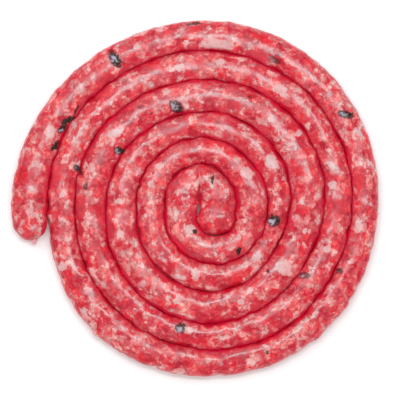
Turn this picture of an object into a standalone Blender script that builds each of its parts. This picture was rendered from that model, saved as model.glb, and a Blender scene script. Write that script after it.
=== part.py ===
"""A long fresh sausage, coiled flat: one filled casing wound on itself like a rope mat.

The inner end is folded back on itself as a hook, and every turn after it lies against the
turn inside it. The underside is pressed flat by the board that the coil lies on.
"""
import math
from bisect import bisect_right

import bmesh
import bpy

# Driving dimensions, in metres. The coil is laid out about its eye, and wound counter-clockwise
# from the inside out, seen from above.
TURN_GAP = 0.0004            # left between one turn and the next
BOARD_HEIGHT = 0.0185        # height above the board where the casing is NOMINAL_THICKNESS across
NOMINAL_THICKNESS = 0.020
SLUMP = 0.25                 # how little the height follows the thickness (0 not at all, 1 fully)
FOOT_PRESS = 0.0009          # how far the round section is pressed into its flat underside
SECTION_SQUARENESS = 2.3     # 2 is an ellipse, more is fuller in the corners

HOOK_START = (0.0095, -0.0100)   # beside the inner end's dome, where the inner leg begins
INNER_LEG = 0.0168               # straight run up the inside of the fold
FOLD_RADIUS = 0.0131             # middle line of the fold
OUTER_LEG = 0.0125               # straight run back down beside the inner leg
HOOK_SWEEP_RADIUS = 0.0244       # half turn that carries the casing round the inner end
SLIT_HALF_WIDTH = 0.0003         # what the fold leaves open between its two legs
SLIT_WIDEST = 0.0024             # the almond that stays open beside the inner end
SLIT_OPENS = (0.0030, -0.0025)     # where the slit begins to open, and where it is widest
SLIT_CLOSES = (-0.0030, -0.0085)   # where the slit begins to close, and where the legs touch
SLIT_REACH = 0.0063              # how far the slit runs up into the fold
SLIT_SHARPNESS = 4               # more is a squarer end to the slit
END_BULGE = 0.0019               # how far the inner end bulges across the slit's middle line
COIL_END = math.radians(360 * 5 + 184)   # bearing at which the outer end's dome begins

# Length and bluntness of the two domed ends: 2 is an ellipse, more is blunter.
INNER_DOME = (0.0107, 2.0)
OUTER_DOME = (0.0163, 2.0)

# A hand-filled casing is uneven: (distance along it from the inner end, thickness across it).
FILLING = (
    (0.000, 0.0230), (0.017, 0.0225), (0.027, 0.0170), (0.037, 0.0170), (0.048, 0.0165),
    (0.058, 0.0215), (0.071, 0.0215), (0.109, 0.0205), (0.130, 0.0190), (0.150, 0.0215),
    (0.175, 0.0195), (0.220, 0.0175), (0.275, 0.0190), (0.335, 0.0185), (0.390, 0.0130),
    (0.420, 0.0160), (0.455, 0.0185), (0.515, 0.0175), (0.595, 0.0205), (0.665, 0.0215),
    (0.725, 0.0215), (0.825, 0.0230), (0.935, 0.0215), (1.015, 0.0215), (1.145, 0.0175),
    (1.225, 0.0200), (1.365, 0.0180), (1.465, 0.0195), (1.625, 0.0185), (1.705, 0.0215),
    (1.805, 0.0175), (1.885, 0.0195), (1.955, 0.0180), (2.055, 0.0205), (2.165, 0.0205),
    (2.235, 0.0215), (2.305, 0.0245),
)

LAY_STEP = 0.0015                     # step along the hook while it is laid out
WINDING_STEP = math.radians(2)        # most that the bearing grows from station to station
WALL_BLUR = math.radians(7)           # a casing doesn't follow a kink in the turn inside it
RING_POINTS = 12                      # points round the casing, two of them at its foot
RING_TURN = math.radians(9)           # most that the heading changes from ring to ring
RING_SPACING = 0.0115                 # most that two rings lie apart
BISECTIONS = 30
DOME_RINGS = 5
DOME_CLOSES_AT = 0.3                  # the share of a ring that the last ring stops short of the tip


def thickness_at(along):
    """Thickness across the casing, on a smooth curve through FILLING."""
    places = [place for place, _ in FILLING]
    last = len(FILLING) - 1
    right = min(max(bisect_right(places, along), 1), last)
    left = right - 1

    def slope(index):
        before, after = max(index - 1, 0), min(index + 1, last)
        return (FILLING[after][1] - FILLING[before][1]) / (places[after] - places[before])

    span = places[right] - places[left]
    t = min(max((along - places[left]) / span, 0.0), 1.0)
    ease_in, ease_out = t * (1 - t) ** 2, t * t * (1 - t)
    start, end = FILLING[left][1], FILLING[right][1]
    between = start + (end - start) * t * t * (3 - 2 * t)
    return between + span * (slope(left) * ease_in - slope(right) * ease_out)


def lay_hook():
    """Stations (x, y, heading, along, thickness) of the folded inner end and its half turn."""
    x, y = HOOK_START
    heading, along = math.pi / 2, 0.0
    stations = [squeeze(x, y, heading, along)]
    legs = ((INNER_LEG, 0.0), (FOLD_RADIUS * math.pi, math.pi),
            (OUTER_LEG, 0.0), (HOOK_SWEEP_RADIUS * math.pi, math.pi))
    for length, turn in legs:
        steps = max(1, round(length / LAY_STEP))
        for _ in range(steps):
            heading += turn / steps / 2
            x += math.cos(heading) * length / steps
            y += math.sin(heading) * length / steps
            heading += turn / steps / 2
            along += length / steps
            stations.append(squeeze(x, y, heading, along))
    return stations


def eased(y, start_and_end):
    """0 up to the start, 1 from the end on, and smooth between them."""
    start, end = start_and_end
    t = min(max((y - start) / (end - start), 0.0), 1.0)
    return t * t * (3 - 2 * t)


def slit_left_open(y):
    """Width that the slit leaves between the inner leg and what lies beside it."""
    thin = 2 * SLIT_HALF_WIDTH
    wide = thin + (SLIT_WIDEST - thin) * eased(y, SLIT_OPENS)
    return wide + (TURN_GAP - wide) * eased(y, SLIT_CLOSES)


def inside_end(x, y):
    """Whether a point lies within the inner leg or the dome that ends it."""
    middle = HOOK_START[0] - FOLD_RADIUS
    left = middle + SLIT_HALF_WIDTH - END_BULGE * eased(y, SLIT_CLOSES)
    right = HOOK_START[0] + thickness_at(0.0) / 2
    if y > HOOK_START[1]:
        return left < x < right
    length, bluntness = INNER_DOME
    across = abs(x - (left + right) / 2) / ((right - left) / 2)
    return across ** bluntness + ((HOOK_START[1] - y) / length) ** bluntness < 1


def squeeze(x, y, heading, along):
    """A station of the hook, whose inner wall is pressed onto the slit or onto the inner end.

    In the fold the walls are measured from the slit's middle line. Towards the top of the fold
    that line runs away along the heading's normal, so the slit's own length takes over there: the
    inner wall is the lesser of the two, with the corner between them rounded off. Beyond the fold
    the inner wall lies against the inner leg, as far off as the slit leaves open.
    """
    out_x, out_y = math.sin(heading), -math.cos(heading)
    half = thickness_at(along) / 2
    if along <= INNER_LEG:
        inner = SLIT_HALF_WIDTH - END_BULGE * eased(y, SLIT_CLOSES) - FOLD_RADIUS
    elif along <= INNER_LEG + FOLD_RADIUS * math.pi:
        to_side = SLIT_HALF_WIDTH / max(abs(math.sin(heading)), SLIT_HALF_WIDTH)
        inner = (to_side ** -SLIT_SHARPNESS + SLIT_REACH ** -SLIT_SHARPNESS) ** (-1 / SLIT_SHARPNESS)
        inner -= FOLD_RADIUS
    else:
        near, far = 0.0, FOLD_RADIUS + thickness_at(0.0) / 2
        for _ in range(BISECTIONS):
            reach = (near + far) / 2
            if inside_end(x - out_x * reach, y - out_y * reach):
                far = reach
            else:
                near = reach
        beside_slit = out_x < 0
        inner = (slit_left_open(y - out_y * near) if beside_slit else TURN_GAP) - near
    shift = (half + inner) / 2
    return x + out_x * shift, y + out_y * shift, heading, along, half - inner


def lay_coil():
    """Stations of the whole casing: each turn lies against the wall of the turn inside it."""
    stations = lay_hook()
    bearings, walls = [], []
    for x, y, heading, _, thickness in stations:
        wall_x = x + math.sin(heading) * thickness / 2
        wall_y = y - math.cos(heading) * thickness / 2
        bearing = math.atan2(wall_y, wall_x)
        while bearings and bearing < bearings[-1] - math.pi:
            bearing += 2 * math.pi
        bearings.append(bearing)
        walls.append(math.hypot(wall_x, wall_y))

    def wall_at(bearing):
        right = min(max(bisect_right(bearings, bearing), 1), len(bearings) - 1)
        left = right - 1
        t = (bearing - bearings[left]) / (bearings[right] - bearings[left])
        return walls[left] + (walls[right] - walls[left]) * t

    x, y, heading, along, _ = stations[-1]
    bearing = math.atan2(y, x) + 2 * math.pi
    while bearings[-1] >= bearing:
        bearings.pop()
        walls.pop()
    steps = math.ceil((COIL_END - bearing) / WINDING_STEP)
    step = (COIL_END - bearing) / steps
    for _ in range(steps):
        bearing += step
        beneath = bearing - 2 * math.pi
        before, here, after = (wall_at(beneath + side * WALL_BLUR) for side in (-1, 0, 1))
        wall = (before + 2 * here + after) / 4
        lean = math.hypot(1, (after - before) / (2 * WALL_BLUR) / wall)
        thickness = thickness_at(along)
        radius = wall + (TURN_GAP + thickness / 2) * lean
        new_x, new_y = radius * math.cos(bearing), radius * math.sin(bearing)
        heading = math.atan2(new_y - y, new_x - x)
        along += math.hypot(new_x - x, new_y - y)
        x, y = new_x, new_y
        stations.append((x, y, heading, along, thickness))
        bearings.append(bearing)
        walls.append(radius + thickness / 2 * lean)
    return stations


def thin_out(stations):
    """Fewer stations: the next is kept once the casing has turned or run on far enough."""
    kept = [stations[0]]
    for here, ahead in zip(stations[1:-1], stations[2:]):
        last = kept[-1]
        turn = abs((ahead[2] - last[2] + math.pi) % (2 * math.pi) - math.pi)
        run = math.hypot(ahead[0] - last[0], ahead[1] - last[1])
        if turn > RING_TURN or run > RING_SPACING:
            kept.append(here)
    kept.append(stations[-1])
    return kept


def dome(station, shape, direction):
    """Stations and shares of size that close an end, from its full section outwards."""
    x, y, heading, along, thickness = station
    length, bluntness = shape
    rings = []
    for step in range(1, DOME_RINGS + 1):
        reach = math.sin(math.pi / 2 * step / (DOME_RINGS + DOME_CLOSES_AT))
        share = (1 - reach ** bluntness) ** (1 / bluntness)
        out = direction * length * reach
        moved = (x + math.cos(heading) * out, y + math.sin(heading) * out)
        rings.append(((*moved, heading, along, thickness), share))
    return rings


def section(station, share):
    """Points of one ring: a full rounded section, flat where it presses on the board."""
    x, y, heading, _, thickness = station
    height = BOARD_HEIGHT * (thickness / NOMINAL_THICKNESS) ** SLUMP + FOOT_PRESS
    middle = height / 2 - FOOT_PRESS
    n = SECTION_SQUARENESS
    foot_rise = middle / (height / 2)
    foot_width = (1 - foot_rise ** n) ** (1 / n)
    foot = math.atan2(-foot_rise, foot_width)
    points = []
    for index in range(RING_POINTS):
        angle = foot + (math.pi - 2 * foot) * index / (RING_POINTS - 1)
        reach = (abs(math.cos(angle)) ** n + abs(math.sin(angle)) ** n) ** (-1 / n)
        across = share * thickness / 2 * reach * math.cos(angle)
        rise = middle + share * height / 2 * reach * math.sin(angle)
        points.append((x + math.sin(heading) * across, y - math.cos(heading) * across, max(rise, 0.0)))
    return points


def loft(rings):
    """One closed mesh through the rings, no two of them alike, closed by the first and last."""
    mesh = bmesh.new()
    loops = [[mesh.verts.new(point) for point in ring] for ring in rings]
    for near, far in zip(loops, loops[1:]):
        for index in range(RING_POINTS):
            beside = (index + 1) % RING_POINTS
            mesh.faces.new((near[index], near[beside], far[beside], far[index]))
    mesh.faces.new(loops[0])
    mesh.faces.new(loops[-1])
    bmesh.ops.recalc_face_normals(mesh, faces=mesh.faces)
    return mesh


def stand_on_origin(mesh):
    """Moves the mesh so that the origin is under the middle of its box."""
    lowest = [min(vert.co[axis] for vert in mesh.verts) for axis in range(3)]
    highest = [max(vert.co[axis] for vert in mesh.verts) for axis in range(3)]
    middle = ((lowest[0] + highest[0]) / 2, (lowest[1] + highest[1]) / 2, lowest[2])
    bmesh.ops.translate(mesh, verts=mesh.verts, vec=[-value for value in middle])


def raw_sausage_material():
    material = bpy.data.materials.new("raw_sausage")
    material.use_nodes = True
    shader = material.node_tree.nodes["Principled BSDF"]
    shader.inputs["Base Color"].default_value = (0.62, 0.11, 0.12, 1.0)
    shader.inputs["Roughness"].default_value = 0.3
    shader.inputs["Metallic"].default_value = 0.0
    return material


for item in list(bpy.data.objects):
    bpy.data.objects.remove(item, do_unlink=True)

coil = thin_out(lay_coil())
inner_dome = reversed(dome(coil[0], INNER_DOME, -1))
outer_dome = dome(coil[-1], OUTER_DOME, 1)
sized_stations = [*inner_dome, *((station, 1.0) for station in coil), *outer_dome]
casing = loft([section(station, share) for station, share in sized_stations])
stand_on_origin(casing)

sausage_mesh = bpy.data.meshes.new("sausage")
casing.to_mesh(sausage_mesh)
casing.free()
sausage_mesh.materials.append(raw_sausage_material())
sausage_mesh.shade_smooth()
sausage = bpy.data.objects.new("sausage", sausage_mesh)
coiled_sausage = bpy.data.collections.new("coiled_sausage")
bpy.context.scene.collection.children.link(coiled_sausage)
coiled_sausage.objects.link(sausage)
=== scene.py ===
"""A long fresh sausage, coiled flat: how the coil looks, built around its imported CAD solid."""
import math
from bisect import bisect_right

import bpy
import numpy as np
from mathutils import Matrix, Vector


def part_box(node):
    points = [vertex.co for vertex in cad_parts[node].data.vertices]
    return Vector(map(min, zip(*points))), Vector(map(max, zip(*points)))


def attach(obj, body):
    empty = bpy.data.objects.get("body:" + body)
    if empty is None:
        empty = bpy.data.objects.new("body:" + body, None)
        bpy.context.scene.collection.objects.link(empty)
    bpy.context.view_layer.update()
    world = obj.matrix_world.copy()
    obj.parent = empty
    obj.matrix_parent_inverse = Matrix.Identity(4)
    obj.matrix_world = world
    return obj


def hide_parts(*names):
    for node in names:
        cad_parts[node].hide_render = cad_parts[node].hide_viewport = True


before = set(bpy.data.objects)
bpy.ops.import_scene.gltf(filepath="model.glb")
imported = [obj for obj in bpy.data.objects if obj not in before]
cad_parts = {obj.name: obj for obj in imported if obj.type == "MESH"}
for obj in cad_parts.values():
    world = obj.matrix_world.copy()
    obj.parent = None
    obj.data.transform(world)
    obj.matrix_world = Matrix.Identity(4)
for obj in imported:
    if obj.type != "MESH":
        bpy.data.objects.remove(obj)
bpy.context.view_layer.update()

# ---------------------------------------------------------------------------
# The lay of the coil. One casing, about 2.35 m long, is laid on the board by hand: its inner end
# is folded back on itself, and each later turn is pushed up against the turn inside it.
# ---------------------------------------------------------------------------
TURN_GAP = 0.0004            # left between the walls of two turns before the casing swells
HOOK_START = (0.0095, -0.0100)   # beside the inner end's dome, where the inner leg begins
INNER_LEG = 0.0168               # straight run up the inside of the fold
FOLD_RADIUS = 0.0131             # middle line of the fold
OUTER_LEG = 0.0125               # straight run back down beside the inner leg
HOOK_SWEEP_RADIUS = 0.0244       # half turn that carries the casing round the inner end
SLIT_HALF_WIDTH = 0.0003         # what the fold leaves open between its two legs
SLIT_WIDEST = 0.0024             # the almond that stays open beside the inner end
SLIT_OPENS = (0.0030, -0.0025)     # where the slit begins to open, and where it is widest
SLIT_CLOSES = (-0.0030, -0.0085)   # where the slit begins to close, and where the legs touch
SLIT_REACH = 0.0063              # how far the slit runs up into the fold
SLIT_SHARPNESS = 4               # more is a squarer end to the slit
END_BULGE = 0.0019               # how far the inner end bulges across the slit's middle line
COIL_END = math.radians(360 * 5 + 184)   # bearing at which the outer end's dome begins
INNER_DOME = (0.0107, 2.0)       # length and bluntness of an end: 2 is an ellipse
OUTER_DOME = (0.0163, 2.0)
BISECTIONS = 30
LAY_STEP = 0.0005                # step along the hook while it is laid out
WINDING_STEP = math.radians(0.5)
WALL_BLUR = math.radians(7)      # a casing doesn't follow a kink in the turn inside it
RING_SPACING = 0.00116           # between the rings that the skin is stretched over
DOME_RINGS = 16
DOME_CLOSES_AT = 0.3             # the share of a ring that the last ring stops short of the tip
WALL_COMES_FREE = math.radians(4)   # how gradually the last turn loses its outer neighbour

# A hand-filled casing is uneven: (distance along it from the inner end, thickness across it).
# The thicknesses of the first twelve rows were corrected after earlier fits. Those of the
# other rows are the output of another program, as it printed them: a least-squares fit to the
# turns as they were traced in the photograph, rounded to half a millimetre.
FILLING = (
    (0.000, 0.0230), (0.017, 0.0225), (0.027, 0.0170), (0.037, 0.0170), (0.048, 0.0165),
    (0.058, 0.0215), (0.071, 0.0215), (0.109, 0.0205), (0.130, 0.0190), (0.150, 0.0215),
    (0.175, 0.0195), (0.220, 0.0175), (0.275, 0.0190), (0.335, 0.0185), (0.390, 0.0130),
    (0.420, 0.0160), (0.455, 0.0185), (0.515, 0.0175), (0.595, 0.0205), (0.665, 0.0215),
    (0.725, 0.0215), (0.825, 0.0230), (0.935, 0.0215), (1.015, 0.0215), (1.145, 0.0175),
    (1.225, 0.0200), (1.365, 0.0180), (1.465, 0.0195), (1.625, 0.0185), (1.705, 0.0215),
    (1.805, 0.0175), (1.885, 0.0195), (1.955, 0.0180), (2.055, 0.0205), (2.165, 0.0205),
    (2.235, 0.0215), (2.305, 0.0245),
)


def thickness_at(along):
    """Thickness across the casing, on a smooth curve through FILLING."""
    places = [place for place, _ in FILLING]
    last = len(FILLING) - 1
    right = min(max(bisect_right(places, along), 1), last)
    left = right - 1

    def slope(index):
        before, after = max(index - 1, 0), min(index + 1, last)
        return (FILLING[after][1] - FILLING[before][1]) / (places[after] - places[before])

    span = places[right] - places[left]
    t = min(max((along - places[left]) / span, 0.0), 1.0)
    ease_in, ease_out = t * (1 - t) ** 2, t * t * (1 - t)
    start, end = FILLING[left][1], FILLING[right][1]
    between = start + (end - start) * t * t * (3 - 2 * t)
    return between + span * (slope(left) * ease_in - slope(right) * ease_out)


def lay_hook():
    """Stations (x, y, heading, along, thickness) of the folded inner end and its half turn."""
    x, y = HOOK_START
    heading, along = math.pi / 2, 0.0
    stations = [squeeze(x, y, heading, along)]
    legs = ((INNER_LEG, 0.0), (FOLD_RADIUS * math.pi, math.pi),
            (OUTER_LEG, 0.0), (HOOK_SWEEP_RADIUS * math.pi, math.pi))
    for length, turn in legs:
        steps = max(1, round(length / LAY_STEP))
        for _ in range(steps):
            heading += turn / steps / 2
            x += math.cos(heading) * length / steps
            y += math.sin(heading) * length / steps
            heading += turn / steps / 2
            along += length / steps
            stations.append(squeeze(x, y, heading, along))
    return stations


def eased(y, start_and_end):
    """0 up to the start, 1 from the end on, and smooth between them."""
    start, end = start_and_end
    t = min(max((y - start) / (end - start), 0.0), 1.0)
    return t * t * (3 - 2 * t)


def slit_left_open(y):
    """Width that the slit leaves between the inner leg and what lies beside it."""
    thin = 2 * SLIT_HALF_WIDTH
    wide = thin + (SLIT_WIDEST - thin) * eased(y, SLIT_OPENS)
    return wide + (TURN_GAP - wide) * eased(y, SLIT_CLOSES)


def inside_end(x, y):
    """Whether a point lies within the inner leg or the dome that ends it."""
    middle = HOOK_START[0] - FOLD_RADIUS
    left = middle + SLIT_HALF_WIDTH - END_BULGE * eased(y, SLIT_CLOSES)
    right = HOOK_START[0] + thickness_at(0.0) / 2
    if y > HOOK_START[1]:
        return left < x < right
    length, bluntness = INNER_DOME
    across = abs(x - (left + right) / 2) / ((right - left) / 2)
    return across ** bluntness + ((HOOK_START[1] - y) / length) ** bluntness < 1


def squeeze(x, y, heading, along):
    """A station of the hook, whose inner wall is pressed onto the slit or onto the inner end.

    In the fold the walls are measured from the slit's middle line. Towards the top of the fold
    that line runs away along the heading's normal, so the slit's own length takes over there: the
    inner wall is the lesser of the two, with the corner between them rounded off. Beyond the fold
    the inner wall lies against the inner leg, as far off as the slit leaves open.
    """
    out_x, out_y = math.sin(heading), -math.cos(heading)
    half = thickness_at(along) / 2
    if along <= INNER_LEG:
        inner = SLIT_HALF_WIDTH - END_BULGE * eased(y, SLIT_CLOSES) - FOLD_RADIUS
    elif along <= INNER_LEG + FOLD_RADIUS * math.pi:
        to_side = SLIT_HALF_WIDTH / max(abs(math.sin(heading)), SLIT_HALF_WIDTH)
        rounded = to_side ** -SLIT_SHARPNESS + SLIT_REACH ** -SLIT_SHARPNESS
        inner = rounded ** (-1 / SLIT_SHARPNESS) - FOLD_RADIUS
    else:
        near, far = 0.0, FOLD_RADIUS + thickness_at(0.0) / 2
        for _ in range(BISECTIONS):
            reach = (near + far) / 2
            if inside_end(x - out_x * reach, y - out_y * reach):
                far = reach
            else:
                near = reach
        beside_slit = out_x < 0
        inner = (slit_left_open(y - out_y * near) if beside_slit else TURN_GAP) - near
    shift = (half + inner) / 2
    return x + out_x * shift, y + out_y * shift, heading, along, half - inner


def lay_coil():
    """Stations of the whole casing: each turn lies against the wall of the turn inside it."""
    stations = lay_hook()
    bearings, walls = [], []
    for x, y, heading, _, thickness in stations:
        wall_x = x + math.sin(heading) * thickness / 2
        wall_y = y - math.cos(heading) * thickness / 2
        bearing = math.atan2(wall_y, wall_x)
        while bearings and bearing < bearings[-1] - math.pi:
            bearing += 2 * math.pi
        bearings.append(bearing)
        walls.append(math.hypot(wall_x, wall_y))

    def wall_at(bearing):
        right = min(max(bisect_right(bearings, bearing), 1), len(bearings) - 1)
        left = right - 1
        t = (bearing - bearings[left]) / (bearings[right] - bearings[left])
        return walls[left] + (walls[right] - walls[left]) * t

    x, y, heading, along, _ = stations[-1]
    bearing = math.atan2(y, x) + 2 * math.pi
    while bearings[-1] >= bearing:
        bearings.pop()
        walls.pop()
    steps = math.ceil((COIL_END - bearing) / WINDING_STEP)
    step = (COIL_END - bearing) / steps
    for _ in range(steps):
        bearing += step
        beneath = bearing - 2 * math.pi
        before, here, after = (wall_at(beneath + side * WALL_BLUR) for side in (-1, 0, 1))
        wall = (before + 2 * here + after) / 4
        lean = math.hypot(1, (after - before) / (2 * WALL_BLUR) / wall)
        thickness = thickness_at(along)
        radius = wall + (TURN_GAP + thickness / 2) * lean
        new_x, new_y = radius * math.cos(bearing), radius * math.sin(bearing)
        heading = math.atan2(new_y - y, new_x - x)
        along += math.hypot(new_x - x, new_y - y)
        x, y = new_x, new_y
        stations.append((x, y, heading, along, thickness))
        bearings.append(bearing)
        walls.append(radius + thickness / 2 * lean)
    return stations


def even_rings(stations):
    """The stations taken up again at an even spacing, as rows x, y, heading, along, thickness."""
    laid = np.array(stations)
    laid[:, 2] = np.unwrap(laid[:, 2])
    places = np.linspace(0.0, laid[-1, 3], round(laid[-1, 3] / RING_SPACING))
    even = np.column_stack([np.interp(places, laid[:, 3], laid[:, column]) for column in range(5)])
    # The one station where the hook hands over to the winding can face slightly askew.
    even[1:-1, 2] = np.median([even[:-2, 2], even[1:-1, 2], even[2:, 2]], axis=0)
    return even


def dome_rings(ring, shape, direction):
    """Rings that close an end, from its full section outwards, with their share of its size."""
    x, y, heading, along, thickness = ring
    length, bluntness = shape
    reach = np.sin(np.pi / 2 * np.arange(1, DOME_RINGS + 1) / (DOME_RINGS + DOME_CLOSES_AT))
    share = (1 - reach ** bluntness) ** (1 / bluntness)
    out = direction * length * reach
    return np.column_stack([x + math.cos(heading) * out, y + math.sin(heading) * out,
                            np.full(DOME_RINGS, heading), along + out,
                            np.full(DOME_RINGS, thickness), share])


def mark(mesh, **marks):
    """Keeps values at a mesh's points, under their names: one number at each point, or three."""
    for name, values in marks.items():
        threes = np.shape(values)[1:] == (3,)
        kept = mesh.attributes.new(name, "FLOAT_VECTOR" if threes else "FLOAT", "POINT")
        kept.data.foreach_set("vector" if threes else "value", np.ravel(values))


def put(name, data):
    """A new object in the scene, at the origin."""
    made = bpy.data.objects.new(name, data)
    bpy.context.scene.collection.objects.link(made)
    return made


body_rings = even_rings(lay_coil())
rings = np.vstack([
    dome_rings(body_rings[0], INNER_DOME, -1)[::-1],
    np.column_stack([body_rings, np.ones(len(body_rings))]),
    dome_rings(body_rings[-1], OUTER_DOME, 1),
])
ring_x, ring_y, ring_heading, ring_along, ring_thickness, ring_share = rings.T
side = np.column_stack([np.sin(ring_heading), -np.cos(ring_heading), np.zeros(len(rings))])

# The coil's eye, about which it is wound, stands off the middle of the CAD solid's box.
half = (ring_thickness * ring_share / 2)[:, None]
plan = np.column_stack([ring_x, ring_y])
walls = np.vstack([plan + side[:, :2] * half, plan - side[:, :2] * half])
lowest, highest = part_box("sausage")
eye = np.array([(lowest[axis] + highest[axis]) / 2 for axis in (0, 1)])
eye -= (walls.min(axis=0) + walls.max(axis=0)) / 2
centre_line = np.column_stack([plan + eye, np.zeros(len(rings))])

# Where the casing has a neighbour: its outer wall is free on the last turn.
bearing = np.unwrap(np.arctan2(ring_y, ring_x))
bearing += 2 * math.pi * round((COIL_END - bearing[-1 - DOME_RINGS]) / (2 * math.pi))
outer_pressed = np.clip((COIL_END - 2 * math.pi - bearing) / WALL_COMES_FREE + 0.5, 0, 1)

lay = bpy.data.meshes.new("lay_of_the_coil")
lay.from_pydata(centre_line.tolist(), [(n, n + 1) for n in range(len(rings) - 1)], [])
mark(lay, side=side, along=ring_along, thickness=ring_thickness, share=ring_share,
     outer_pressed=outer_pressed)
casing = put("filled_casing", lay)

# ---------------------------------------------------------------------------
# The filled casing. A sheep's gut, a tenth of a millimetre thick and clear, is packed with
# coarse mince. It slumps on the board, so that its section is full, with a flat underside, and
# the pieces of meat and fat lift its skin.
# ---------------------------------------------------------------------------
BOARD_HEIGHT = 0.0185        # height above the board where the casing is NOMINAL_THICKNESS across
NOMINAL_THICKNESS = 0.020
SLUMP = 0.25                 # how little the height follows the thickness (0 not at all, 1 fully)
FOOT_PRESS = 0.0009          # how far the round section is pressed into its flat underside
SECTION_SQUARENESS = 2.5     # 2 is an ellipse, more is fuller in the corners
SWELL = 0.0004               # thickness that the mince presses out beyond the lay
PRESSED_FLAT = 0.0020        # how far a wall would bulge if its neighbour didn't press it flat
POINTS_ROUND = 42


class Wire:
    """One value in a node tree. A sum written on wires becomes Math nodes in that tree."""

    def __init__(self, tree, socket=None):
        self.tree, self.socket = tree, socket

    def add(self, kind, settings=None, inputs=None, output=0):
        """A new node's output: the settings are made first, then its sockets are filled."""
        node = self.tree.nodes.new(kind)
        for name, value in (settings or {}).items():
            if name == "stops":
                fill_ramp(node.color_ramp, value)
            else:
                setattr(node, name, value)
        self.fill(node.inputs, inputs or {})
        return Wire(self.tree, self.pick(node.outputs, output)) if node.outputs else node

    @staticmethod
    def pick(sockets, name):
        in_use = [socket for socket in sockets if socket.enabled]
        if isinstance(name, int):
            return in_use[name]
        return next(socket for socket in in_use if socket.name == name)

    @classmethod
    def fill(cls, sockets, values):
        """Links each socket that is given a wire, and sets each that is given a plain value."""
        for name, value in values.items():
            socket = cls.pick(sockets, name)
            if isinstance(value, Wire):
                value.tree.links.new(value.socket, socket)
            else:
                socket.default_value = value

    def beside(self, name):
        """Another output of the node that this wire comes from."""
        return Wire(self.tree, self.pick(self.socket.node.outputs, name))

    def maths(self, operation, *values):
        return self.add("ShaderNodeMath", {"operation": operation}, dict(enumerate(values)))

    def __add__(self, other):
        return self.maths("ADD", self, other)

    def __sub__(self, other):
        return self.maths("SUBTRACT", self, other)

    def __rsub__(self, other):
        return self.maths("SUBTRACT", other, self)

    def __mul__(self, other):
        return self.maths("MULTIPLY", self, other)

    def __truediv__(self, other):
        return self.maths("DIVIDE", self, other)

    def __rtruediv__(self, other):
        return self.maths("DIVIDE", other, self)

    def __pow__(self, other):
        return self.maths("POWER", self, other)

    __radd__, __rmul__ = __add__, __mul__

    def rise(self, low, high):
        """0 up to low, 1 from high on, smooth between them; falls where low is over high."""
        return self.add("ShaderNodeMapRange", {"interpolation_type": "SMOOTHSTEP"},
                        {"Value": self, "From Min": low, "From Max": high}, "Result")

    def mix(self, where_0, where_1):
        """One colour where this wire is 0, and the other where it is 1."""
        return self.add("ShaderNodeMix", {"data_type": "RGBA"},
                        {"Factor": self, "A": where_0, "B": where_1}, "Result")

    def between(self, where_0, where_1):
        """One number where this wire is 0, and the other where it is 1."""
        return where_1 * self + where_0 * (1 - self)

    def vector(self, operation, *values):
        return self.add("ShaderNodeVectorMath", {"operation": operation}, dict(enumerate(values)))

    def scaled(self, size):
        return self.add("ShaderNodeVectorMath", {"operation": "SCALE"},
                        {"Vector": self, "Scale": size})

    def level(self):
        """A place or a shift without its height."""
        return self.vector("MULTIPLY", self, (1.0, 1.0, 0.0))

    def noise(self, where, size, detail=1.0, roughness=0.5, output="Fac"):
        """A soft random pattern, 0 to 1, whose lumps are about the given size."""
        return self.add("ShaderNodeTexNoise", {}, {
            "Vector": where, "Scale": 1 / size, "Detail": detail, "Roughness": roughness}, output)

    def sway(self, where, size, detail=1.0, roughness=0.5):
        """A random shift of up to a half each way, that changes over about the given size."""
        pattern = self.noise(where, size, detail, roughness, "Color")
        return self.vector("SUBTRACT", pattern, (0.5, 0.5, 0.5))


def fill_ramp(ramp, stops):
    while len(ramp.elements) < len(stops):
        ramp.elements.new(0.5)
    for element, (position, tint) in zip(ramp.elements, stops):
        element.position, element.color = position, tint


def attribute(wire, name, kind="FLOAT"):
    return wire.add("GeometryNodeInputNamedAttribute", {"data_type": kind}, {"Name": name},
                    "Attribute")


def store(wire, geometry, name, value, kind="FLOAT"):
    return wire.add("GeometryNodeStoreNamedAttribute", {"data_type": kind, "domain": "POINT"},
                    {"Geometry": geometry, "Name": name, "Value": value})


SOCKET_FOR = {float: "NodeSocketFloat", int: "NodeSocketInt",
              bpy.types.Material: "NodeSocketMaterial", bpy.types.Object: "NodeSocketObject"}


def new_tree(name, sizes):
    """A geometry tree with one input for each size, and the wires of its inputs."""
    tree = bpy.data.node_groups.new(name, "GeometryNodeTree")
    tree.interface.new_socket("Geometry", in_out="INPUT", socket_type="NodeSocketGeometry")
    tree.interface.new_socket("Geometry", in_out="OUTPUT", socket_type="NodeSocketGeometry")
    for size, value in sizes.items():
        tree.interface.new_socket(size, in_out="INPUT", socket_type=SOCKET_FOR[type(value)])
    entry = tree.nodes.new("NodeGroupInput")
    return tree, {socket.name: Wire(tree, socket) for socket in entry.outputs if socket.name}


def grow(piece, tree, sizes):
    """Runs a tree on a piece, and puts the plain mesh that it makes in the piece's place."""
    modifier = piece.modifiers.new(tree.name, "NODES")
    modifier.node_group = tree
    for socket in tree.interface.items_tree:
        if socket.in_out == "INPUT" and socket.name in sizes:
            modifier[socket.identifier] = sizes[socket.name]
    evaluated = piece.evaluated_get(bpy.context.evaluated_depsgraph_get())
    grown = bpy.data.meshes.new_from_object(evaluated)
    piece.modifiers.clear()
    piece.data = grown
    grown.name = piece.name


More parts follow.
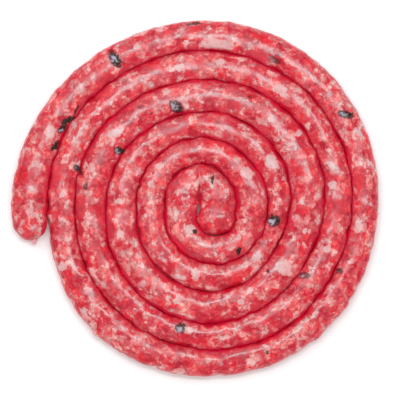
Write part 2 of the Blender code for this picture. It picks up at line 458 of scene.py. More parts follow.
mince_material = bpy.data.materials.new("raw_mince_in_casing")
casing_sizes = {
    "Points round": POINTS_ROUND,
    "Board height": BOARD_HEIGHT,
    "Nominal thickness": NOMINAL_THICKNESS,
    "Slump": SLUMP,
    "Foot press": FOOT_PRESS,
    "Squareness": SECTION_SQUARENESS,
    "Swell": SWELL,
    "Pressed flat": PRESSED_FLAT,
    "Stir depth": 0.0028,        # how far the turns shove each other aside
    "Stir size": 0.009,
    "Bulge depth": 0.0008,       # where the casing is filled harder or softer
    "Bulge size": 0.013,
    "Lump depth": 0.00016,       # single pieces of mince under the skin
    "Lump size": 0.0042,
    "Material": mince_material,
}
tree, sizes = new_tree("stretch_the_casing", casing_sizes)
start = Wire(tree)
squareness, points_round = sizes["Squareness"], sizes["Points round"]

# A ring of spokes is drawn along the lay, then every spoke is set to its place on the section.
line = start.add("GeometryNodeMeshToCurve", {}, {"Mesh": sizes["Geometry"]})
line = store(start, line, "centre", start.add("GeometryNodeInputPosition"), "FLOAT_VECTOR")
line = store(start, line, "ring", start.add("GeometryNodeInputIndex"), "INT")
ring = start.add("GeometryNodeCurvePrimitiveCircle", {"mode": "RADIUS"},
                 {"Resolution": points_round})
ring = store(start, ring, "spoke", start.add("GeometryNodeInputIndex"), "INT")
skin = start.add("GeometryNodeCurveToMesh", {}, {
    "Curve": line, "Profile Curve": ring, "Fill Caps": True})

# The section is a full oval that is cut off flat at its foot, and its first and last spokes
# stand at the two edges of that foot.
centre, side_way = (attribute(start, name, "FLOAT_VECTOR") for name in ("centre", "side"))
share = attribute(start, "share")
thickness = attribute(start, "thickness") + sizes["Swell"]
half_thickness = thickness / 2
slumped = (thickness / sizes["Nominal thickness"]) ** sizes["Slump"]
height = sizes["Board height"] * slumped + sizes["Foot press"]
middle = height / 2 - sizes["Foot press"]
foot_rise = middle / (height / 2)
foot_width = (1 - foot_rise ** squareness) ** (1 / squareness)
foot = start.maths("ARCTAN2", 0 - foot_rise, foot_width)
angle = foot + (math.pi - 2 * foot) * attribute(start, "spoke", "INT") / (points_round - 1)
cosine, sine = start.maths("COSINE", angle), start.maths("SINE", angle)
reach = (start.maths("ABSOLUTE", cosine) ** squareness
         + start.maths("ABSOLUTE", sine) ** squareness) ** (-1 / squareness)
lifted = start.maths("MAXIMUM", middle + share * height / 2 * reach * sine, 0.0)

# Beside a neighbour the oval bulges past its thickness, the more the harder that stretch is
# filled, and the neighbour presses it flat there.
has_neighbour = cosine.rise(-0.001, 0.001).between(1.0, attribute(start, "outer_pressed"))
wall = start.vector("ADD", centre, side_way.scaled(half_thickness * reach * cosine))
filled = start.noise(wall, sizes["Bulge size"]).rise(0.3, 0.7)
bulging = half_thickness + sizes["Pressed flat"] * has_neighbour * (0.2 + 1.8 * filled)
across = start.maths("MINIMUM", bulging * reach * cosine, half_thickness)
across = share * start.maths("MAXIMUM", across, 0 - half_thickness)
up = start.add("ShaderNodeCombineXYZ", {}, {"Z": lifted})
place = start.vector("ADD", centre, start.vector("ADD", side_way.scaled(across), up))

# The turns shove each other about a little, so that no crease runs quite true.
stir = start.sway(place.level(), sizes["Stir size"]).level()
place = start.vector("ADD", place, stir.scaled(sizes["Stir depth"]))
skin = start.add("GeometryNodeSetPosition", {}, {"Geometry": skin, "Position": place})

# Along, across and up, as if the sausage were pulled straight: the mince runs along the casing.
straight = start.add("ShaderNodeCombineXYZ", {}, {
    "X": attribute(start, "along"), "Y": across, "Z": lifted})
skin = store(start, skin, "straight", straight, "FLOAT_VECTOR")
# How far out towards a wall each place lies where a neighbour presses it: the mince paints shade
# and a red glow into the creases from this.
to_the_side = start.maths("ABSOLUTE", across / (share * half_thickness))
skin = store(start, skin, "crease", to_the_side ** 2 * has_neighbour * (1.05 - 0.2 * filled))

# The skin is lifted by what lies under it, but not where it lies on the board or on a neighbour.
free = (lifted / height).rise(0.45, 0.8)
coarse = start.noise(straight, sizes["Bulge size"], detail=0.0)
fine = start.noise(straight, sizes["Lump size"], roughness=0.4)
lift = (coarse - 0.5) * sizes["Bulge depth"] + (fine - 0.5) * sizes["Lump depth"]
skin = start.add("GeometryNodeSetPosition", {}, {
    "Geometry": skin, "Offset": start.add("GeometryNodeInputNormal").scaled(lift * free)})
skin = start.add("GeometryNodeSetShadeSmooth", {}, {"Geometry": skin, "Shade Smooth": True})
skin = start.add("GeometryNodeRealizeInstances", {}, {"Geometry": skin})
skin = start.add("GeometryNodeSetMaterial", {}, {"Geometry": skin, "Material": sizes["Material"]})
start.add("NodeGroupOutput", {}, {"Geometry": skin})
grow(casing, tree, casing_sizes)

# The skin is opened along its foot and laid out as rows, one under another, for its finish.
STRIP_ROWS = 7
STRIP_MARGIN = 0.002         # left free at each end of a row, as a share of its length
ROW_MARGIN = 0.02            # left free along each edge of a row, as a share of its width
CAP_CORNER = (0.001, 0.001)  # where the two faces that close the tips lie, beside the rows
skin = casing.data


def read(mesh, name, width=1):
    kept = mesh.attributes[name]
    values = np.empty(len(kept.data) * width, int if kept.data_type == "INT" else float)
    kept.data.foreach_get("vector" if width == 3 else "value", values)
    return values.reshape(-1, width) if width > 1 else values


corner_vertex = np.empty(len(skin.loops), int)
skin.loops.foreach_get("vertex_index", corner_vertex)
ring_of, spoke_of = (read(skin, name)[corner_vertex].astype(float) for name in ("ring", "spoke"))
rings_in_row = math.ceil((len(rings) - 1) / STRIP_ROWS)
strip = np.zeros((len(corner_vertex), 2))
for face in skin.polygons:
    corners = slice(face.loop_start, face.loop_start + face.loop_total)
    if face.loop_total > 4:
        strip[corners] = CAP_CORNER
        continue
    spoke, ring = spoke_of[corners], ring_of[corners]
    if spoke.max() - spoke.min() > 1:
        spoke = np.where(spoke == 0, POINTS_ROUND, spoke)
    row = ring.min() // rings_in_row
    run, width = (ring - row * rings_in_row) / rings_in_row, spoke / POINTS_ROUND
    strip[corners, 0] = STRIP_MARGIN + (1 - 2 * STRIP_MARGIN) * run
    strip[corners, 1] = (row + ROW_MARGIN + (1 - 2 * ROW_MARGIN) * width) / STRIP_ROWS
skin.uv_layers.new(name="OFBake").data.foreach_set("uv", strip.ravel())

# ---------------------------------------------------------------------------
# The stuffing. Coarsely minced lean pork, cut fat and a little of the lean left almost whole show
# through the casing. The pieces that can be told apart are laid as they were pressed against it,
# and smaller ones of the same four kinds fill what is left between them.
# ---------------------------------------------------------------------------
# Each: middle (x, y) from the coil's eye, length and width, all in millimetres, and the degrees
# by which its length is turned from the x axis, as the coil is seen from above. A sixth number
# is for a piece that a knife has cut flat: how far from its middle, as a share of its half width.
# They were picked out in the photograph, and a small program turned most of the readings into
# millimetres.
FAT = (
    (8, 107.5, 25.5, 15.5, -5, 0.0), (-17, 95, 7, 5.5, 30), (11, 99, 7, 5.5, 0),
    (-106, 51, 10.5, 7, 70), (-61, 50, 14, 6, 10), (88, 14, 6, 6, 0), (106, -13, 9, 4, 95),
    (46, 30, 11.5, 9, -70), (68, -18, 4, 3, 80), (-31, 27, 6, 5.5, 30), (29, 22, 10.5, 7.5, -45),
    (-10, -16, 8.5, 7, 30), (37, -35, 9, 4, 80), (-119, 12, 5.5, 3, -30), (-120, -4, 5.5, 4, 20),
    (-59, 3, 6, 5, 0), (-119, -1, 12, 2.6, -83), (55, -43, 13, 10.5, -30), (-6, -47, 8.5, 6, 80),
    (-70, -27, 4, 3.5, 60), (52, 79, 12.5, 8.5, -40), (-98, -42, 9.5, 6, 60),
    (-26, 78, 5.5, 3.5, 0), (65, 50, 5.5, 5, 60), (71, 55, 6, 3.5, 70), (-98, 8, 7, 4, 60),
    (-78, 26, 8.5, 5.5, 70), (-47, 110, 5.5, 5, 40), (-18, -86, 5.5, 4, 0), (46, 59, 6, 5, -45),
    (5, 13, 4, 3, 80), (25, -66, 5.5, 4, 10), (84, -30, 7, 5, 60),
)
MARBLED = (
    (-54, 105, 8.5, 3.5, 40), (30, 110, 8, 7, 20), (96, 69, 9.5, 5.5, -20), (105, 51, 7, 7, 0),
    (95, 51, 5.5, 4, 0), (113, 27, 8.5, 6, 80), (83, 51, 12.5, 9.5, -50), (88, 30, 12.5, 9, -70),
    (57, 41, 16.5, 7.5, -20), (60, 34, 4, 3, 70), (66, 16, 5.5, 4, 30), (73, 12, 11, 5.5, 20),
    (77, 6, 8.5, 5.5, -40), (52, 2, 9.5, 5.5, 10), (-10, 23, 9.5, 3.5, 15),
    (23, 29, 9.5, 8.5, -50), (30, 10, 6, 3.5, 20), (15, 10, 7, 3, 0), (-39, -6, 33, 7, 88),
    (-14, -10, 8.5, 2, 20), (-20, -8, 7, 7, 0), (23, -13, 5.5, 5.5, 0), (-28, -38, 5, 4, 0),
    (-93, 3, 8.5, 7, 60), (-99, -11, 9, 3.5, 95), (-59, -13, 20.5, 7.5, -80),
    (-118, -7, 8, 4.5, 30), (-114, 35, 5, 4, 0), (-54, -34, 9.5, 7.5, -50),
    (-46, -43, 19.5, 5.5, -45), (-68, -42, 7, 6, 0), (-74, -47, 14, 6, -45),
    (-69, -55, 7, 5, -50), (-83, -55, 5.5, 3.5, -70), (-77, -69, 6, 4, 0),
    (-59, -85, 7.5, 5.5, -20), (-66, -83, 5, 4, 0), (-41, -70, 15, 5.5, -30),
    (-26, -83, 10.5, 4, -15), (-17, -63, 7, 5.5, 0), (-14, -76, 10.5, 3.5, -5),
    (0, -68, 7, 3.5, 0), (-58, -63, 6, 5.5, 0), (59, -25, 14, 7.5, 75), (74, -39, 7, 5.5, 0),
    (68, -84, 14, 9.5, 30), (54, -91, 7.5, 4, 30), (33, -108, 12.5, 5.5, 0),
    (10, -109, 5.5, 3.5, 0), (61, -63, 9.5, 6, 45), (48, -70, 10.5, 4, 25), (70, -55, 7.5, 4, 50),
    (31, -61, 11.5, 8.5, 30), (15, -63, 6, 4, 10), (8, -74, 4, 3.5, 0), (12, -92, 6, 4, 20),
    (40, 64, 8.5, 4, -20), (8, 70, 6, 2, 85), (15, 69, 6, 2, 80), (27, 68, 6, 2, 100),
    (54, -26, 8.5, 6, 60), (-102, 63, 7, 3.5, 60), (-41, 86, 8.5, 4, 30),
)
LEAN = (
    (-70, 86, 11.5, 10.5, 30), (38, 103, 14, 6, -25), (18, 69, 10.5, 7, -10),
    (92, 1, 20.5, 14, -85), (-101, 20, 14, 8.5, 70), (-86, 0, 15, 9.5, -80),
    (-3, 23, 9.5, 5.5, 0), (86, -14, 14, 9.5, 80), (31, -97, 20.5, 7, 15), (74, -97, 14, 8.5, 35),
    (107, 16, 14, 8.5, -80), (-21, 52, 16.5, 8.5, 15), (11, -12, 11, 9.5, 0),
    (-51, 69, 12.5, 7, 40), (21, -39, 15, 5.5, 15), (-72, -7, 12.5, 7, -80),
    (-26, -31, 9.5, 5.5, -45), (-124.5, -7, 6, 6, 0), (-121, -20, 9, 7, 0),
)
RED = (
    (-69, 77, 14, 7.5, 40), (-126, 21, 14, 8.5, 75), (33, 94, 6, 3.5, -20), (100, 53, 5.5, 4, 0),
    (-14, 19, 7.5, 7, 0), (-21, 6, 5.5, 5.5, 0), (-74, -3, 11, 9, 0), (23, -51, 7.5, 4, 20),
    (41, 114, 12.5, 5.5, -30), (-28, -50, 9.5, 5.5, -40), (-7, 121, 11, 4, 0),
    (66, 24, 11, 8.5, -60), (53, -31, 9.5, 8.5, 60), (-78, 66, 8.5, 7, 50), (72, -72, 8.5, 7, 45),
    (-37, 97, 12.5, 5, 25), (19, 55, 9.5, 5.5, -30), (-53, -78, 9.5, 5.5, -40),
    (1, -81, 11, 5, 0), (89, -45, 9.5, 6, 60), (43, 0, 11, 6, -85), (-46, 31, 7, 5.5, 60),
    (66, -3, 9.5, 7, -85), (-110, -17, 13, 5, 85),
)

MILLIMETRES = 1000.0         # in a metre
PIECE_SQUARENESS = 2.5       # 2 is an ellipse, more is fuller in the corners
PIECE_REACH = 0.02           # how far along the casing a piece can be from its own middle
CLEAN_RIM = 3                # how much less torn than the others a piece cut flat is
skin_place = np.empty(len(skin.vertices) * 3)
skin.vertices.foreach_get("co", skin_place)
skin_place = skin_place.reshape(-1, 3)[:, :2] - eye
skin_along = read(skin, "straight", 3)[:, 0]


def press_in(pieces):
    """How deep each point of the skin lies in the nearest piece: 1 in its middle, 0 at its rim."""
    depth = np.full(len(skin_place), -1.0)
    for x, y, length, width, turn, *cut in pieces:
        offset = skin_place - np.array([x, y]) / MILLIMETRES
        turn = math.radians(turn)
        lengthways = (offset @ (math.cos(turn), math.sin(turn))) / (length / MILLIMETRES / 2)
        widthways = (offset @ (-math.sin(turn), math.cos(turn))) / (width / MILLIMETRES / 2)
        out = np.abs(lengthways) ** PIECE_SQUARENESS + np.abs(widthways) ** PIECE_SQUARENESS
        inside = 1 - out ** (1 / PIECE_SQUARENESS)
        for where_cut in cut:
            inside = CLEAN_RIM * np.minimum(inside, widthways - where_cut)
        nearest = np.argmin(np.hypot(*offset.T))
        apart = np.abs(skin_along - skin_along[nearest])
        inside[apart > PIECE_REACH + length / MILLIMETRES / 2] = -1.0
        depth = np.maximum(depth, inside)
    return depth


mark(skin, fat=press_in(FAT), marbled=press_in(MARBLED), lean=press_in(LEAN), red=press_in(RED))


def open_up(material):
    """A new material's shader, and the wire that what feeds it is built from."""
    material.use_nodes = True
    return material.node_tree.nodes["Principled BSDF"], Wire(material.node_tree)


def stored(wire, name, output="Fac"):
    """What is kept under a name at the points of the mesh, as a shader reads it."""
    return wire.add("ShaderNodeAttribute", {"attribute_name": name}, {}, output)


def colour(red, green, blue):
    """A colour as a butcher's chart gives it, 0 to 255, as the shader takes it."""
    linear = [(part / 255 / 12.92) if part < 11 else ((part / 255 + 0.055) / 1.055) ** 2.4
              for part in (red, green, blue)]
    return (*linear, 1.0)


# Sizes in the mince, in millimetres, and how pale its kinds are: 0 is deep red, 1 is white fat.
BIG_PIECE, SMALL_PIECE, FINEST_GRAIN, PATCH = 4.6, 2.1, 0.75, 12.0
USUALLY_PALE, LEAN_PALE, RED_PALE, FAT_PALE = 0.35, 0.32, 0.14, 0.87
DRAWN_OUT = 0.85             # the less, the longer the nozzle draws the mince along the casing
shader, mince = open_up(mince_material)
lie = stored(mince, "straight", "Vector").scaled(MILLIMETRES)
lie = mince.vector("MULTIPLY", lie, (DRAWN_OUT, 1.0, 1.0))


def grain(size, detail=1.0, roughness=0.5, where=lie):
    """A random pattern in the mince, from about -0.5 to 0.5."""
    return mince.noise(where, size, detail, roughness) - 0.5


def torn(size, shift):
    """The lie of the mince, shifted about, so that the rims of its pieces are ragged."""
    return mince.vector("ADD", lie, mince.sway(lie, size, 2.0, 0.6).scaled(shift))


def pieces_of(size, where):
    """For each piece of about the given size: three numbers of its own, how far off its middle is,
    and where that middle lies."""
    piece = mince.add("ShaderNodeTexVoronoi", {}, {"Vector": where, "Scale": 1 / size}, "Color")
    first = mince.add("ShaderNodeSeparateColor", {}, {"Color": piece}, "Red")
    return (first, first.beside("Green"), first.beside("Blue"),
            piece.beside("Distance"), piece.beside("Position"))


# The pieces listed above: how much of each place is theirs, out to a ragged rim.
rag = grain(1.8, 2.0, 0.6) * 3
patch = grain(PATCH)
lean_share = (stored(mince, "lean") + rag * 0.4).rise(-0.1, 0.3)
fat_share = (stored(mince, "fat") + rag * 0.3 + grain(3.2) * 1.2).rise(-0.08, 0.3)
marbled_share = (stored(mince, "marbled") + rag * 0.5).rise(-0.15, 0.3)
red_share = (stored(mince, "red") + rag * 0.5).rise(-0.1, 0.3)

# How pale each place is: the marbling of the mince, of its small pieces and of its big ones, the
# fatter ones among these, thin pale threads, and then the pieces listed above.
big_tone, big_hue, big_light, big_rim, big_middle = pieces_of(BIG_PIECE, torn(2.8, 4.0))
small_tone, small_hue, small_light, small_rim, small_middle = pieces_of(
    SMALL_PIECE, torn(1.5, 1.6))
fine = grain(FINEST_GRAIN, 2.0, 0.6)
marbling = grain(5.2, 3.0, 0.58, where=torn(3.4, 4.0))
small_marbling = grain(4.2, 2.0, 0.65, where=small_middle)
big_marbling = grain(5.5, 2.0, 0.65, where=big_middle)
paleness = marbling * 0.8 + small_marbling * 0.85 + big_marbling * 0.7 + (small_tone - 0.5) * 0.22
paleness = paleness + big_tone.rise(0.45, 0.9) * 0.3 - small_rim.rise(0.45, 0.7) * 0.1
thread = mince.maths("ABSOLUTE", grain(4.5, 1.0, where=torn(2.5, 3.0)))
thread = thread.rise(0.07, 0.02) * grain(6.0, where=torn(2.5, 3.0)).rise(0.0, 0.1)
paleness = USUALLY_PALE + (paleness + thread * 0.3) + fine * 0.06 + patch * 0.5
paleness = lean_share.between(paleness, LEAN_PALE + fine * 0.25 + patch * 0.3)
paleness = red_share.between(
    paleness + marbled_share * 0.2, RED_PALE + fine * 0.3 + (small_tone - 0.5) * 0.2)
paleness = fat_share.between(paleness, FAT_PALE + fine * 0.4 + marbling * 0.55)

# Each place is between two kinds of red, and darker or lighter from piece to piece.
hue = (big_hue - 0.5) * 0.4 + (small_hue - 0.5) * 0.4 + grain(9.0) * 0.8 + 0.45
crimson = mince.add("ShaderNodeValToRGB", {"stops": (
    (0.02, colour(180, 4, 38)), (0.18, colour(192, 24, 52)), (0.34, colour(200, 50, 68)),
    (0.48, colour(206, 78, 88)), (0.62, colour(210, 108, 112)), (0.78, colour(217, 144, 146)),
    (0.95, colour(219, 176, 176)))}, {"Fac": paleness})
coral = mince.add("ShaderNodeValToRGB", {"stops": (
    (0.02, colour(206, 12, 38)), (0.18, colour(215, 32, 50)), (0.34, colour(219, 58, 67)),
    (0.48, colour(222, 86, 88)), (0.62, colour(223, 112, 108)), (0.78, colour(227, 144, 138)),
    (0.95, colour(225, 176, 170)))}, {"Fac": paleness})
meat = (hue.rise(0.1, 0.9) * (1 - fat_share * 0.7) + red_share * 0.5).mix(crimson, coral)
light = (small_light - 0.5) * 0.26 + (big_light - 0.5) * 0.12 + fine * 0.07 + grain(9.0, 1.0) * 0.3
meat = meat.scaled(1.01 + light * (1 - fat_share * 0.6))

# Down the sides towards a crease the red is darkened, a painted shade, and darker still close to
# it. Where two walls meet, in stretches, it is painted a clear strong red: a painted glow standing
# in for light scattered through the meat.
crease_shade = stored(mince, "crease") + rag * 0.05 + marbling * 0.3
meat = (crease_shade.rise(0.42, 0.9) * 0.55).mix(meat, colour(190, 20, 50))
crease_shade_and_glow = stored(mince, "crease") + rag * 0.04 + grain(7.0, 2.0) * 1.1 + grain(45.0) * 0.8
meat = crease_shade_and_glow.rise(0.6, 0.9).mix(meat, colour(200, 22, 56))
# The very bottom of the crease is painted lighter, a clear red glow where little light reaches.
meat = crease_shade_and_glow.rise(0.9, 1.15).mix(meat, colour(228, 24, 60))

# The casing is moist: its gloss is broken by patches, and by the pieces that lift it.
relief = 0.15 * fine - big_rim * 0.4 - small_rim * 0.3
bump = mince.add("ShaderNodeBump", {}, {
    "Strength": 0.2, "Distance": 0.0002, "Height": relief}, "Normal")
gloss = 0.17 + grain(8.0, 1.0).rise(0.0, 0.12) * 0.14 + (paleness - USUALLY_PALE) * 0.16
Wire.fill(shader.inputs, {
    "Base Color": meat, "Roughness": gloss, "Normal": bump, "IOR": 1.5,
    "Specular IOR Level": 0.37, "Specular Tint": (0.35, 1.0, 1.0, 1.0),
    "Subsurface Weight": 0.7, "Subsurface Radius": (0.55, 0.15, 0.13), "Subsurface Scale": 0.003,
    "Coat Weight": 0.05, "Coat Roughness": 0.15, "Coat IOR": 1.4})

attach(casing, "root")
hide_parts("sausage")

# ---------------------------------------------------------------------------
# The twist. Past the mince at the outer end the empty casing is twisted shut and cut off short:
# a small fluted tail of it stands out from the dome, and droops a little.
# ---------------------------------------------------------------------------
TWIST_LENGTH = 0.0056        # from its root, which lies within the dome
TWIST_ROOT = 0.0030          # how far the root lies behind the dome's tip
TWIST_ASIDE = 0.0026         # how far it stands from the dome's own middle line
TWIST_LEAN = math.radians(8)
TWIST_DROOP = 0.0016
TWIST_WIDE, TWIST_NARROW = 0.0042, 0.0008
TWIST_TAPER = 0.8            # 1 is a straight taper, less is quicker at the root
TIP_CLOSES_AT, TIP_BLUNTNESS = 0.98, 10
TWIST_TURNS = 0.9
FLUTES = 5
FLUTE_DEPTH = 0.2
STAINS = 900                 # in a metre
TWIST_RINGS, TWIST_POINTS = 24, 40

way_out = ring_heading[-1] + TWIST_LEAN
tail_run = np.linspace(0.0, 1.0, TWIST_RINGS)[:, None]
tail_angle = np.linspace(0.0, 2 * math.pi, TWIST_POINTS, endpoint=False)[None, :]
tail_radius = TWIST_WIDE + (TWIST_NARROW - TWIST_WIDE) * tail_run ** TWIST_TAPER
tail_radius = tail_radius * np.sqrt(1 - (TIP_CLOSES_AT * tail_run) ** TIP_BLUNTNESS)
flute = np.cos(FLUTES * (tail_angle + 2 * math.pi * TWIST_TURNS * tail_run))
tail_radius = tail_radius * (1 + FLUTE_DEPTH * flute)
tail_out = TWIST_LENGTH * tail_run - TWIST_ROOT
tail_aside = tail_radius * np.cos(tail_angle)
root = centre_line[-1] - side[-1] * TWIST_ASIDE
tail_place = np.stack([
    root[0] + math.cos(way_out) * tail_out + math.sin(way_out) * tail_aside,
    root[1] + math.sin(way_out) * tail_out - math.cos(way_out) * tail_aside,
    BOARD_HEIGHT / 2 - TWIST_DROOP * tail_run ** 2 + tail_radius * np.sin(tail_angle)], axis=-1)
tail_points = TWIST_POINTS * TWIST_RINGS
tail_faces = [tuple(range(TWIST_POINTS)),
              tuple(range(tail_points - 1, tail_points - TWIST_POINTS - 1, -1))]
for row in range(TWIST_RINGS - 1):
    for n in range(TWIST_POINTS):
        near, far = row * TWIST_POINTS, (row + 1) * TWIST_POINTS
        beyond = (n + 1) % TWIST_POINTS
        tail_faces.append((near + n, far + n, far + beyond, near + beyond))
tail_mesh = bpy.data.meshes.new("casing_twist")
tail_mesh.from_pydata(tail_place.reshape(-1, 3).tolist(), [], tail_faces)
mark(tail_mesh, fold=flute.ravel())
tail_mesh.polygons.foreach_set("use_smooth", [True] * len(tail_faces))
twist = put("casing_twist", tail_mesh)

twist_material = bpy.data.materials.new("twisted_casing")
shader, gut = open_up(twist_material)
stain = gut.noise(gut.add("ShaderNodeTexCoord", {}, {}, "Object"), 1 / STAINS, 2.0)
# The tail is painted paler on the ridges of its flutes and redder in their grooves, a painted
# shade, and blotched at random by stains.
gut_colour = (stored(gut, "fold") * 0.3 + stain).rise(0.0, 0.7).mix(
    colour(222, 104, 120), colour(240, 180, 186))
Wire.fill(shader.inputs, {
    "Base Color": gut_colour, "Roughness": 0.3, "Subsurface Weight": 0.5,
    "Subsurface Radius": (1.0, 0.4, 0.4), "Subsurface Scale": 0.001})
tail_mesh.materials.append(twist_material)

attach(twist, "root")

# ---------------------------------------------------------------------------
# The herbs. Flakes of dried leaf and cracked pepper are stirred into the mince, and those that
# were pressed against the casing show nearly black on it. Some have a paler, greyer middle, a
# painted highlight of the casing where the flake lifts it.
# ---------------------------------------------------------------------------
# Each: middle (x, y) from the coil's eye, length and width, all in millimetres, the degrees by
# which its length is turned from the x axis, how strong the painted highlight in its middle is,
# and how plainly it shows.
HERBS = (
    (-61.5, 100.5, 15, 7.5, -58, 1.0, 0.9), (-94, 58.7, 11, 4, 25, 0.0, 1.0),
    (-98, 53, 9, 4.5, 50, 0.7, 0.9), (-88.5, 65, 10, 1.8, 65, 0.0, 0.6),
    (-103, 41, 9, 4, 53, 0.0, 0.9), (-88, 26, 6, 4, -40, 0.2, 0.9),
    (-85, 22, 5, 3, -60, 0.0, 0.5), (-82, 13, 3.5, 6, -10, 0.0, 0.45),
    (-59, 38, 8, 5.5, -10, 0.5, 1.0), (-19.5, 68, 12, 8.5, -35, 0.9, 0.75),
    (-7.5, 125, 12, 2, 4, 0.3, 0.6), (97, 62.5, 12, 6, -10, 0.8, 0.85),
    (5.5, 18, 7, 2, 78, 0.0, 0.8), (31, 75, 2.5, 2.5, 0, 0.0, 0.5),
    (-16.5, -84, 8.5, 7, 35, 1.0, 0.7), (-7, -18, 4, 3.5, 60, 0.0, 0.8),
    (47.5, -10.5, 9.5, 9.5, 0, 0.9, 0.9), (23.5, -31, 6, 3.5, 85, 0.0, 0.95),
    (43, -101, 3.5, 3, 60, 0.0, 0.6), (69, -48, 9.5, 5, 10, 1.0, 0.45),
    (93, -45, 6, 4.5, 20, 0.3, 0.6), (43.5, -45.5, 2.5, 2, 0, 0.0, 0.7),
    (48, 100, 9, 4.5, -35, 0.6, 0.4),
)
herb_rows = np.array(HERBS)
herb_mesh = bpy.data.meshes.new("herb_places")
herb_mesh.from_pydata([(x, y, 0.0) for x, y in herb_rows[:, :2] / MILLIMETRES + eye], [], [])
mark(herb_mesh, turn=np.radians(herb_rows[:, 4]), pale=herb_rows[:, 5], plain=herb_rows[:, 6],
     half_size=np.column_stack([herb_rows[:, 2:4] / MILLIMETRES / 2, np.ones(len(HERBS))]))
herbs = put("herb_flecks", herb_mesh)

herb_material = bpy.data.materials.new("dried_herb")
FALL = 0.1                   # how far above the board a flake is let go
VEINS, BLOTCHES = 900, 420   # in a metre
herb_sizes = {
    "Casing": casing,
    "Thickness": 0.00015,
    "Ragged depth": 0.0035,
    "Ragged size": 0.0016,
    "Material": herb_material,
}
tree, sizes = new_tree("press_herbs_to_the_casing", herb_sizes)
start = Wire(tree)
flake = start.add("GeometryNodeMeshUVSphere", {}, {"Segments": 44, "Rings": 12, "Radius": 1.0})
flake = store(start, flake, "dome", start.add("GeometryNodeInputPosition"), "FLOAT_VECTOR")
turned = start.add("ShaderNodeCombineXYZ", {}, {"Z": attribute(start, "turn")})
flakes = start.add("GeometryNodeInstanceOnPoints", {}, {
    "Points": sizes["Geometry"], "Instance": flake, "Rotation": turned,
    "Scale": attribute(start, "half_size", "FLOAT_VECTOR")})
flakes = start.add("GeometryNodeRealizeInstances", {}, {"Geometry": flakes})

# Each flake is torn at its rim, then let down on the casing, whose curve it takes.
level = start.add("GeometryNodeInputPosition").level()
tear = start.sway(level, sizes["Ragged size"], 2.0).level().scaled(sizes["Ragged depth"])
above = start.vector("ADD", start.vector("ADD", level, tear), (0.0, 0.0, FALL))
target = start.add("GeometryNodeObjectInfo", {}, {"Object": sizes["Casing"]}, "Geometry")
landing = start.add("GeometryNodeRaycast", {}, {
    "Target Geometry": target, "Source Position": above, "Ray Direction": (0.0, 0.0, -1.0),
    "Ray Length": 2 * FALL}, "Hit Position")
proud = start.add("ShaderNodeSeparateXYZ", {}, {
    "Vector": attribute(start, "dome", "FLOAT_VECTOR")}, "Z") * sizes["Thickness"]
flakes = start.add("GeometryNodeSetPosition", {}, {
    "Geometry": flakes,
    "Position": start.vector("ADD", landing, landing.beside("Hit Normal").scaled(proud))})
flakes = start.add("GeometryNodeSetShadeSmooth", {}, {"Geometry": flakes, "Shade Smooth": True})
flakes = start.add("GeometryNodeSetMaterial", {}, {
    "Geometry": flakes, "Material": sizes["Material"]})
start.add("NodeGroupOutput", {}, {"Geometry": flakes})
grow(herbs, tree, herb_sizes)

shader, leaf = open_up(herb_material)
place_on_leaf = leaf.add("ShaderNodeTexCoord", {}, {}, "Object")
veins, blotch = (leaf.noise(place_on_leaf, 1 / count, 2.0) - 0.5 for count in (VEINS, BLOTCHES))
pale, plain = stored(leaf, "pale"), stored(leaf, "plain")
dome = stored(leaf, "dome", "Vector").level()


def from_spot(x, y):
    """How far a place on the leaf is from a spot on it: 1 is from its middle to its rim."""
    return leaf.vector("LENGTH", leaf.vector("SUBTRACT", dome, (x, y, 0.0))).beside("Value")


# Some flakes get a paler, greyer middle: a painted highlight, the casing's glint where it is lifted
# over the flake.
glint_shows = (from_spot(-0.22, -0.18) + blotch * 2.2).rise(0.6, 0.05) * pale
dark = veins.rise(-0.2, 0.3).mix(colour(22, 18, 14), colour(80, 58, 50))
shows = (from_spot(0.0, 0.0) + veins * 0.7 + blotch * 1.3).rise(1.15, 0.55) * plain
Wire.fill(shader.inputs, {
    "Base Color": glint_shows.mix(dark, colour(188, 180, 196)), "Alpha": shows,
    "Roughness": 0.3, "Specular IOR Level": 0.2, "IOR": 1.45})

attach(herbs, "root")

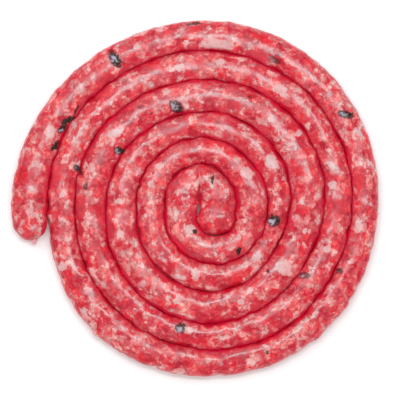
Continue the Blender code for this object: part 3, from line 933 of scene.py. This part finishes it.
# ---------------------------------------------------------------------------
# The board, the light and the camera. The coil lies on a pale board that glows a little, under a
# long soft window light from behind it, and is seen from straight above through a long lens.
# ---------------------------------------------------------------------------
BOARD_REACH = 3.0            # from the coil to each edge of the board
VIEW_WIDTH = 0.276           # what the lens takes in, at the level given here
VIEW_LEVEL = 0.0095
VIEW_MIDDLE = (0.00345, -0.0010)
VIEW_DISTANCE = 2.5
SENSOR = 36.0                # in millimetres, as cameras are

board_mesh = bpy.data.meshes.new("pale_board")
board_mesh.from_pydata([(x * BOARD_REACH, y * BOARD_REACH, 0.0)
                        for x, y in ((-1, -1), (1, -1), (1, 1), (-1, 1))], [], [(0, 1, 2, 3)])
board = put("pale_board", board_mesh)
board_material = bpy.data.materials.new("pale_board")
Wire.fill(open_up(board_material)[0].inputs, {
    "Base Color": (0.94, 0.99, 0.99, 1.0), "Roughness": 0.8, "Emission Strength": 0.08})
board_mesh.materials.append(board_material)

world = bpy.data.worlds.new("studio")
world.use_nodes = True
Wire.fill(world.node_tree.nodes["Background"].inputs,
          {"Color": (1.0, 1.0, 1.0, 1.0), "Strength": 0.74})
bpy.context.scene.world = world


def hang(name, size, energy, distance, tilt, turn=0.0, aside=0.0):
    """A soft light above the coil, tilted back from straight overhead and turned round the coil."""
    light = bpy.data.lights.new(name, "AREA")
    light.shape, light.energy = "RECTANGLE", energy
    light.size, light.size_y = size
    lamp = put(name, light)
    lamp.location = (aside - math.sin(tilt) * math.sin(turn) * distance,
                     math.sin(tilt) * math.cos(turn) * distance, math.cos(tilt) * distance)
    lamp.rotation_euler = (-tilt, 0.0, turn)


hang("window", (0.55, 0.14), energy=3.6, distance=1.1, tilt=math.radians(7.5), aside=0.02)

# A broad screen up to the left fills in from one side, and leaves a soft shadow on the other.
hang("screen", (1.2, 1.2), energy=7.5, distance=2.0, tilt=math.radians(30), turn=math.radians(20))

camera_data = bpy.data.cameras.new("from_above")
camera_data.sensor_width = SENSOR
camera_data.lens = SENSOR * VIEW_DISTANCE / VIEW_WIDTH
camera_data.clip_end = 10.0
camera = put("from_above", camera_data)
camera.location = (*VIEW_MIDDLE, VIEW_DISTANCE + VIEW_LEVEL)
bpy.context.scene.camera = camera
bpy.context.scene.view_settings.view_transform = "Standard"
